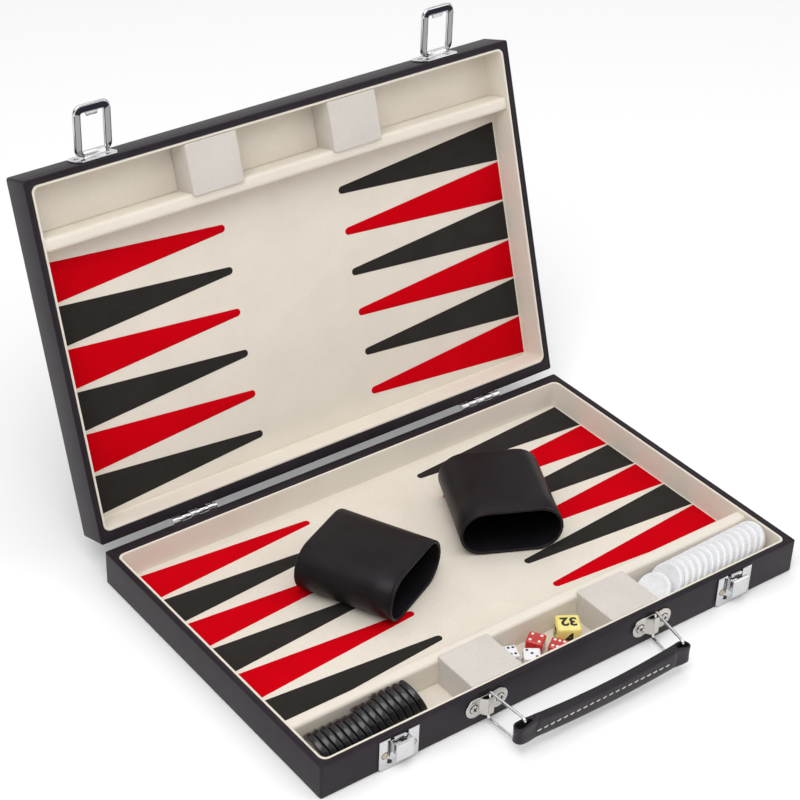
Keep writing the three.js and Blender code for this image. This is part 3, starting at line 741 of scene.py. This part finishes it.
def bracket_plate_mesh(name, x, z):
    """Two round screw lobes with a broad waist, drawn on the front of the case."""
    outline = []
    for centre, start in ((x + 8.6, -112), (x - 8.6, 68)):
        outline += [(centre + 7.4 * math.cos(a), z + 7.2 * math.sin(a)) for a in arc(20, start, start + 224)]
    return prism(name, outline, -FRONT_Y + 0.05, -FRONT_Y + 1.25, 0.35, upright)


def bracket_saddle_mesh(name, x, z):
    """The pressed strap over the ring leg: it leaves the plate in a smooth curve on both sides."""
    crest, foot, gauge, flat, reach = -HANDLE_LEG_Y + 2.1, -FRONT_Y + 1.0, 0.95, 1.7, 6.4
    outer, inner = [], []
    steps = 28
    for i in range(steps + 1):
        px = reach * (2 * i / steps - 1)
        u = max(0, (abs(px) - flat) / (reach - flat))
        height = foot + (crest - foot) * (1 + math.cos(math.pi * u)) / 2
        outer.append((px, height))
        inner.append((px * 0.9, max(foot - 0.6, height - gauge)))
    section = outer + inner[::-1]
    loops = []
    for dz, shrink in ((-6, 0.35), (-5.7, 0.1), (-5.2, 0), (5.2, 0), (5.7, 0.1), (6, 0.35)):
        rounded = 1 - shrink * 0.04
        loops.append([(x + px * rounded, -(py - shrink * 0.4), z + dz) for px, py in section])
    return loft(name, loops)


def handle_metal():
    for side in ("left", "right"):
        inner_x, outer_x = HANDLE_RINGS[side]
        low, high = (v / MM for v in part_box(f"handle_{side}_ring"))
        z0, z1 = low.z + WIRE_RADIUS, high.z - WIRE_RADIUS
        middle = (z0 + z1) / 2
        outer_y = HANDLE_LEG_Y - HANDLE_REACH
        corners = [Vector((inner_x, HANDLE_LEG_Y, z0)), Vector((inner_x, HANDLE_LEG_Y, z1)),
                   Vector((outer_x, outer_y, z1)), Vector((outer_x, outer_y, z0))]
        # The wire is the brighter copy of the chrome: painted highlight.
        add(f"handle_{side}_wire", tube_loop("wire", corners, WIRE_RADIUS, 2), [PAINTED_HIGHLIGHT_CHROME],
            f"handle_ring_{side}", (f"handle_{side}_ring",))
        add(f"handle_{side}_mount", bracket_plate_mesh("mount", inner_x, middle), [NICKEL], "base",
            (f"handle_{side}_bracket",))
        add(f"handle_{side}_saddle", bracket_saddle_mesh("saddle", inner_x, middle), [NICKEL], "base",
            sharp=50)
        for i, offset in enumerate((-10, 10)):
            screw(f"handle_{side}_screw_{i + 1}", "base",
                  facing_front(inner_x + offset, FRONT_Y - 1.22, middle, 35 + 50 * i), 3.3, NICKEL)


# ---------------------------------------------------------------- handle grip

GRIP_SEAMS = (-61.0, 51.0)
GRIP_ENDS = (8.4, 23.9)
GRIP_MIDDLE = (6.1, 20.7)
GRIP_HALF_THICKNESS = 3.3
LOOP_HEIGHTS = (9.2, 22.8)
STITCH_LINE_Z = 14.6


def grip_pad_mesh(name, y):
    """The padded strip: a soft rectangle in section that sags between the seams."""
    loops = []
    steps = 64
    for i in range(steps + 1):
        t = i / steps
        x = GRIP_SEAMS[0] + (GRIP_SEAMS[1] - GRIP_SEAMS[0]) * t
        sag = 4 * t * (1 - t)
        bottom, top = (end + (middle - end) * sag for end, middle in zip(GRIP_ENDS, GRIP_MIDDLE))
        centre_z, half_z = (bottom + top) / 2, (top - bottom) / 2
        pinch = 0.84 if i in (0, steps) else 1
        ring = []
        for k in range(44):
            a = 2 * math.pi * k / 44
            c, s = math.cos(a), math.sin(a)
            sy = math.copysign(abs(c) ** 0.6, c) * GRIP_HALF_THICKNESS * pinch
            sz = math.copysign(abs(s) ** 0.42, s) * half_z * pinch
            groove = 0.4 * math.exp(-((centre_z + sz - STITCH_LINE_Z) / 0.8) ** 2)
            pull = math.copysign(groove, sy) if abs(sy) > GRIP_HALF_THICKNESS * 0.6 else 0
            ring.append((x, y + sy - pull, centre_z + sz))
        loops.append(ring)
    return loft(name, loops)


def loop_outline(end_x, seam_x, y, radius, neck):
    """A leather loop from above: round at the end, narrowing to `neck` at the pad."""
    to_seam = math.copysign(1, seam_x - end_x)
    centre = end_x + to_seam * radius
    points = []
    for angle in arc(14, -90, 90):
        out, across = radius * math.cos(angle), radius * math.sin(angle)
        points.append((centre - to_seam * out, y - to_seam * across))
    for t in (0.33, 0.67, 1):
        width = radius + (neck - radius) * (3 * t ** 2 - 2 * t ** 3)
        points.append((centre + (seam_x - centre) * t, y - to_seam * width))
    for t in (1, 0.67, 0.33):
        width = radius + (neck - radius) * (3 * t ** 2 - 2 * t ** 3)
        points.append((centre + (seam_x - centre) * t, y + to_seam * width))
    return points


def grip_loop_mesh(name, end_x, seam_x, y):
    """The loop is a little lower at its round end than at the pad."""
    to_seam = math.copysign(1, seam_x - end_x)
    wall, roll = 1.3, 0.5
    low_z, high_z = LOOP_HEIGHTS

    def outer(amount):
        seam = seam_x + to_seam * (2 - amount)
        return loop_outline(end_x + to_seam * amount, seam, y, 4 - amount, GRIP_HALF_THICKNESS - 0.5 - amount)

    def inner(amount):
        seam = seam_x - to_seam * (1.6 - amount)
        return loop_outline(end_x + to_seam * (wall - amount), seam, y, 4 - wall + amount, 1.2 + amount)

    def edge(side, z, into, start, stop):
        """Loops over a rounded edge of the loop; `into` is the direction from z into the leather."""
        return [at_height(side(across), z + into * drop)
                for across, drop in quarter(3, start, stop, roll)]

    loops = edge(outer, low_z, 1, 90, 0)
    for t in (0.2, 0.5, 0.8):
        loops.append(at_height(outer(0.25 * math.sin(math.pi * t)), low_z + (high_z - low_z) * t))
    loops += edge(outer, high_z, -1, 0, 90)
    loops += edge(inner, high_z, -1, 90, 0)
    loops += edge(inner, low_z, 1, 0, 90)
    for ring in loops:
        for k, (px, py, pz) in enumerate(ring):
            away = min(1, max(0, (seam_x - px) / (seam_x - end_x)))
            height = (pz - low_z) / (high_z - low_z)
            ring[k] = (px, py, pz + away ** 2 * (1.3 * (1 - height) - 1.5 * height))
    return loft(name, loops, around=True)


def handle_grip():
    low, high = (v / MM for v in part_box("handle_grip"))
    y = (low.y + high.y) / 2
    pad = grip_pad_mesh("grip", y)
    body = add("grip_body", pad, [GRIP_LEATHER], "handle_grip", ("handle_grip",), sharp=60)
    for name, end_x, seam_x in (("left", low.x, GRIP_SEAMS[0]), ("right", high.x, GRIP_SEAMS[1])):
        mesh = grip_loop_mesh("loop", end_x, seam_x, y)
        add(f"grip_loop_{name}", mesh, [GRIP_LEATHER], "handle_grip", (), sharp=60)
    stitches("grip_stitch_front", GRIP_SEAMS, y - GRIP_HALF_THICKNESS + 0.15, STITCH_LINE_Z, -1)
    stitches("grip_stitch_back", GRIP_SEAMS, y + GRIP_HALF_THICKNESS - 0.15, STITCH_LINE_Z, 1)


def stitches(name, span, y, z, out):
    """A row of short thread stitches, sunk into a seam at their ends."""
    pitch, length, radius = 5.1, 3.5, 0.42
    count = int((span[1] - span[0]) / pitch)
    parts = []
    for i in range(count):
        centre = span[0] - 0.4 + pitch * (i + 0.5)
        loops = []
        for k in range(9):
            t = k / 8
            x = centre + length * (t - 0.5)
            r = radius * math.sqrt(max(0.02, 1 - (2 * t - 1) ** 4))
            sink = 0.25 * (1 - abs(2 * t - 1) ** 3)
            tilt = 0.5 * (t - 0.5)
            loops.append([(x, y + out * (sink - 0.1) + r * math.cos(a), z + tilt + r * math.sin(a))
                          for a in (2 * math.pi * m / 8 for m in range(8))])
        parts.append((0, loft("stitch", loops)))
    add(name, joined(name, parts), [STITCHING], "handle_grip")


# ---------------------------------------------------------------- loose pieces

def stadium(half_width, half_thickness, amount, squeeze=0.0, steps=14):
    w, t = half_width - amount, half_thickness - amount
    points = []
    for centre, start in ((w - t, -90), (t - w, 90)):
        for i in range(steps + 1):
            a = math.radians(start + 180 * i / steps)
            points.append((centre + t * math.cos(a), t * math.sin(a)))
    return [(x, z * (1 - squeeze * math.cos(math.pi * x / (2 * w)) ** 2)) for x, z in points]


CUP_MOUTH = {"left": -64.5, "right": -115.6}
CUP_SIZE = (70.4, 34.5, 71.2)


def dice_cup(side):
    low, high = (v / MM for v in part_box(f"cup_{side}"))
    width, thickness, length = CUP_SIZE
    half_w, half_t = width / 2, thickness / 2
    wall, base = 2.2, 3.0
    loops = []

    def ring(amount, along, squeeze=0.0):
        return [(x, along, z) for x, z in stadium(half_w, half_t, amount, squeeze)]

    start = length / 2
    for across, drop in quarter(5, 90, 0, wall):
        loops.append(ring(across, start - drop))
    for t in (0.2, 0.4, 0.6, 0.8):
        loops.append(ring(0.12 * math.sin(math.pi * t), start - wall - (length - 5) * t, 0.01 * t))
    loops.append(ring(0.05, -start + 2.6, 0.012))
    loops.append(ring(0.4, -start + 2.2, 0.012))
    loops.append(ring(0.02, -start + 1.8, 0.012))
    for across, rise in quarter(5, 0, 180, wall / 2):
        loops.append(ring(across, -start + rise, 0.012))
    split = len(loops) - 1
    for t in (0.15, 0.5, 0.9):
        loops.append(ring(wall, -start + 1 + (length - base - 2) * t, 0.01))
    for across, drop in quarter(3, 0, 90, 1.5):
        loops.append(ring(wall + across, start - base - drop))
    mesh = loft("cup", loops)
    count = len(loops[0])
    for face in mesh.polygons:
        if face.index >= split * count and face.index != (len(loops) - 1) * count:
            face.material_index = 1
    turn = Matrix.Rotation(math.radians(CUP_MOUTH[side] + 90), 4, "Z")
    place = Matrix.Translation((low + high) / 2 * MM) @ turn
    add(f"dice_cup_{side}", mesh, [CUP_LEATHER, CUP_INSIDE], f"cup_{side}",
        (f"cup_{side}",), place, 50)


def rounded_cube(name, edge, rounding):
    work = bmesh.new()
    bmesh.ops.create_cube(work, size=edge * MM)
    bmesh.ops.bevel(work, geom=work.edges[:], offset=rounding * MM, segments=5, profile=0.5, affect="EDGES")
    mesh = bpy.data.meshes.new(name)
    work.to_mesh(mesh)
    work.free()
    return mesh


PIPS = {
    1: [(0, 0)],
    2: [(-1, -1), (1, 1)],
    3: [(-1, -1), (0, 0), (1, 1)],
    4: [(-1, -1), (1, -1), (-1, 1), (1, 1)],
    5: [(-1, -1), (1, -1), (-1, 1), (1, 1), (0, 0)],
    6: [(-1, -1), (0, -1), (1, -1), (-1, 1), (0, 1), (1, 1)],
}
FACE_TURNS = {
    "top": Matrix.Identity(4),
    "bottom": Matrix.Rotation(math.pi, 4, "X"),
    "front": Matrix.Rotation(math.pi / 2, 4, "X"),
    "back": Matrix.Rotation(-math.pi / 2, 4, "X"),
    "right": Matrix.Rotation(math.pi / 2, 4, "Y"),
    "left": Matrix.Rotation(-math.pi / 2, 4, "Y"),
}
DICE = {
    "white_a": {"yaw": -22.3, "faces": {"top": 6, "front": 2, "left": 3}, "spin": 0},
    "white_b": {"yaw": -34.6, "faces": {"top": 3, "front": 6, "left": 5}, "spin": 90},
    "red_a": {"yaw": -56.0, "faces": {"top": 4, "front": 1, "left": 5}, "spin": 0},
    "red_b": {"yaw": -55.0, "faces": {"top": 6, "front": 4, "left": 2}, "spin": 0},
}
OPPOSITE = {"top": "bottom", "front": "back", "left": "right"}


def die(name, plan, body_material, pip_material):
    low, high = (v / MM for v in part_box(f"die_{name}"))
    edge = high.z - low.z
    parts = [(0, rounded_cube("die", edge, 1.3))]
    faces = dict(plan["faces"])
    for face, value in plan["faces"].items():
        faces[OPPOSITE[face]] = 7 - value
    spacing = edge * 0.27
    for face, value in faces.items():
        for px, py in PIPS[value]:
            profile = [(0, -0.3), (0.98, -0.3), (0.98, 0.01), (0.86, 0.05), (0, 0.06)]
            pip = turned("pip", profile, 18)
            shift = Matrix.Translation(Vector((px * spacing, py * spacing, edge / 2)) * MM)
            spin = Matrix.Rotation(math.radians(plan["spin"]), 4, "Z")
            pip.transform(FACE_TURNS[face] @ spin @ shift)
            parts.append((1, pip))
    mesh = joined("die", parts)
    place = Matrix.Translation((low + high) / 2 * MM) @ Matrix.Rotation(math.radians(plan["yaw"]), 4, "Z")
    add(f"dice_{name}", mesh, [body_material, pip_material], f"die_{name}",
        (f"die_{name}",), place, 40)


def numeral(text, size):
    """A flat bold number as a thin mesh centred on the origin, facing +Z."""
    curve = bpy.data.curves.new("numeral", "FONT")
    curve.body = text
    curve.size = size * MM
    curve.extrude = 0.12 * MM
    curve.offset = 0.035 * size * MM
    curve.resolution_u = 4
    curve.align_x = "CENTER"
    curve.align_y = "CENTER"
    obj = bpy.data.objects.new("numeral", curve)
    bpy.context.scene.collection.objects.link(obj)
    bpy.context.view_layer.update()
    mesh = bpy.data.meshes.new_from_object(obj.evaluated_get(bpy.context.evaluated_depsgraph_get()))
    bpy.data.objects.remove(obj)
    bpy.data.curves.remove(curve)
    centre = Vector((
        (min(v.co.x for v in mesh.vertices) + max(v.co.x for v in mesh.vertices)) / 2,
        (min(v.co.y for v in mesh.vertices) + max(v.co.y for v in mesh.vertices)) / 2, 0))
    mesh.transform(Matrix.Translation(-centre))
    mesh.materials.clear()
    return mesh


CUBE_YAW = -32.0
CUBE_NUMERALS = {"top": "32", "bottom": "2", "front": "4", "back": "8", "left": "16", "right": "64"}


def doubling_cube():
    low, high = (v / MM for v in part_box("doubling_cube"))
    edge = high.z - low.z
    parts = [(0, rounded_cube("cube", edge, 1.9))]
    for face, text in CUBE_NUMERALS.items():
        mark = numeral(text, edge * (0.7 if len(text) == 2 else 0.8))
        lift = Matrix.Translation((0, 0, (edge / 2 - 0.06) * MM))
        spin = Matrix.Rotation(math.pi, 4, "Z") if face == "top" else Matrix.Identity(4)
        mark.transform(FACE_TURNS[face] @ lift @ spin)
        parts.append((1, mark))
    mesh = joined("doubling_cube", parts)
    place = Matrix.Translation((low + high) / 2 * MM) @ Matrix.Rotation(math.radians(CUBE_YAW), 4, "Z")
    add("doubling_cube_piece", mesh, [YELLOW_PLASTIC, INK_BLACK], "doubling_cube",
        ("doubling_cube",), place, 40)


CHECKER_RADIUS = 12.5
CHECKER_THICKNESS = 4.5


def checker_profile():
    """Half of a disc with a rounded edge and a faint raised ring near it on both faces."""
    r, h, edge = CHECKER_RADIUS, CHECKER_THICKNESS / 2, 1.2
    side = [(0, h - 0.22), (r * 0.66, h - 0.22), (r * 0.72, h - 0.14), (r * 0.77, h), (r - edge, h)]
    side += [(r - edge * (1 - math.sin(a)), h - edge * (1 - math.cos(a))) for a in arc(5, 15, 90)]
    return side + [(x, -z) for x, z in reversed(side)]


def checkers():
    """Each disc's lean follows from how wide and tall its solid stands."""
    r, h = CHECKER_RADIUS, CHECKER_THICKNESS / 2
    for color, material, side in (("white", WHITE_PLASTIC, 1), ("black", BLACK_PLASTIC, -1)):
        for i in range(1, 16):
            node = f"checker_{color}_{i}"
            low, high = (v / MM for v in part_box(node))
            wide, tall = (high.x - low.x) / 2, (high.z - low.z) / 2
            lean = side * math.atan2(r * wide - h * tall, r * tall - h * wide)
            mesh = turned("checker", checker_profile(), 56)
            place = Matrix.Translation((low + high) / 2 * MM) @ Matrix.Rotation(math.pi / 2 + lean, 4, "Y")
            place = place @ Matrix.Rotation(0.7 * i, 4, "Z")
            add(f"disc_{color}_{i}", mesh, [material], node, (node,), place, 40)


# ---------------------------------------------------------------- stage, light and camera

def light_tent(world):
    """A white tent with one soft dark band above the horizon, which gives metal its contrast."""
    nodes, links = world.node_tree.nodes, world.node_tree.links
    coords = nodes.new("ShaderNodeTexCoord")
    axes = nodes.new("ShaderNodeSeparateXYZ")
    links.new(coords.outputs["Generated"], axes.inputs["Vector"])
    white, dark = (1, 1, 1), (0.03, 0.03, 0.035)
    stops = [(0.0, white), (0.17, white), (0.21, dark), (0.38, dark), (0.46, white), (1.0, white)]
    links.new(ramp(nodes, links, axes.outputs["Z"], stops), nodes["Background"].inputs["Color"])
    nodes["Background"].inputs["Strength"].default_value = 0.78


def studio():
    scene = bpy.context.scene
    scene.view_settings.view_transform = "Standard"
    floor_mesh = bpy.data.meshes.new("floor")
    s, z = 4.0, -0.0002
    corners = [(-s, -s, z), (s, -s, z), (s, s, z), (-s, s, z)]
    floor_mesh.from_pydata(corners, [], [(0, 1, 2, 3)])
    mat, nodes, links, shader = blank("pale_floor")
    shader.inputs["Base Color"].default_value = (0.97, 0.97, 0.97, 1)
    shader.inputs["Roughness"].default_value = 0.9
    shader.inputs["Specular IOR Level"].default_value = 0.1
    floor_mesh.materials.append(mat)
    floor = bpy.data.objects.new("floor", floor_mesh)
    scene.collection.objects.link(floor)
    world = bpy.data.worlds.new("studio")
    world.use_nodes = True
    light_tent(world)
    scene.world = world
    lamps = {
        "key": ((-0.9, -0.7, 1.9), 1.4, 20),
        "fill": ((1.6, -1.3, 1.2), 1.2, 6),
        "top": ((0.1, 0.2, 2.4), 1.8, 9),
    }
    for name, (place, size, power) in lamps.items():
        lamp = bpy.data.lights.new(name, "AREA")
        lamp.size = size
        lamp.energy = power
        obj = bpy.data.objects.new(name, lamp)
        obj.location = place
        aim = Vector((0, 0, 0.05)) - Vector(place)
        obj.rotation_euler = aim.to_track_quat("-Z", "Y").to_euler()
        scene.collection.objects.link(obj)


def camera():
    right = Vector((0.82132, -0.57042, 0.00724))
    up = Vector((0.31599, 0.46548, 0.82673))
    back = Vector((-0.47495, -0.67672, 0.56256))
    data = bpy.data.cameras.new("camera")
    data.lens = 93.97
    data.sensor_width = 36
    data.shift_x = 0.1164
    data.shift_y = 0.0353
    obj = bpy.data.objects.new("camera", data)
    turn = Matrix((right, up, back)).transposed().to_4x4()
    obj.matrix_world = Matrix.Translation((-0.6989, -0.8300, 0.8517)) @ turn
    bpy.context.scene.collection.objects.link(obj)
    bpy.context.scene.camera = obj


tray("base", None, "red")
tray("lid", lid_tray_place(), "black")
hinges()
catches()
hasps()
handle_metal()
handle_grip()
for cup_side in ("left", "right"):
    dice_cup(cup_side)
for die_name, die_plan in DICE.items():
    white = die_name.startswith("white")
    die(die_name, die_plan, WHITE_PLASTIC if white else RED_PLASTIC, INK_BLACK if white else INK_WHITE)
doubling_cube()
checkers()
studio()
camera()
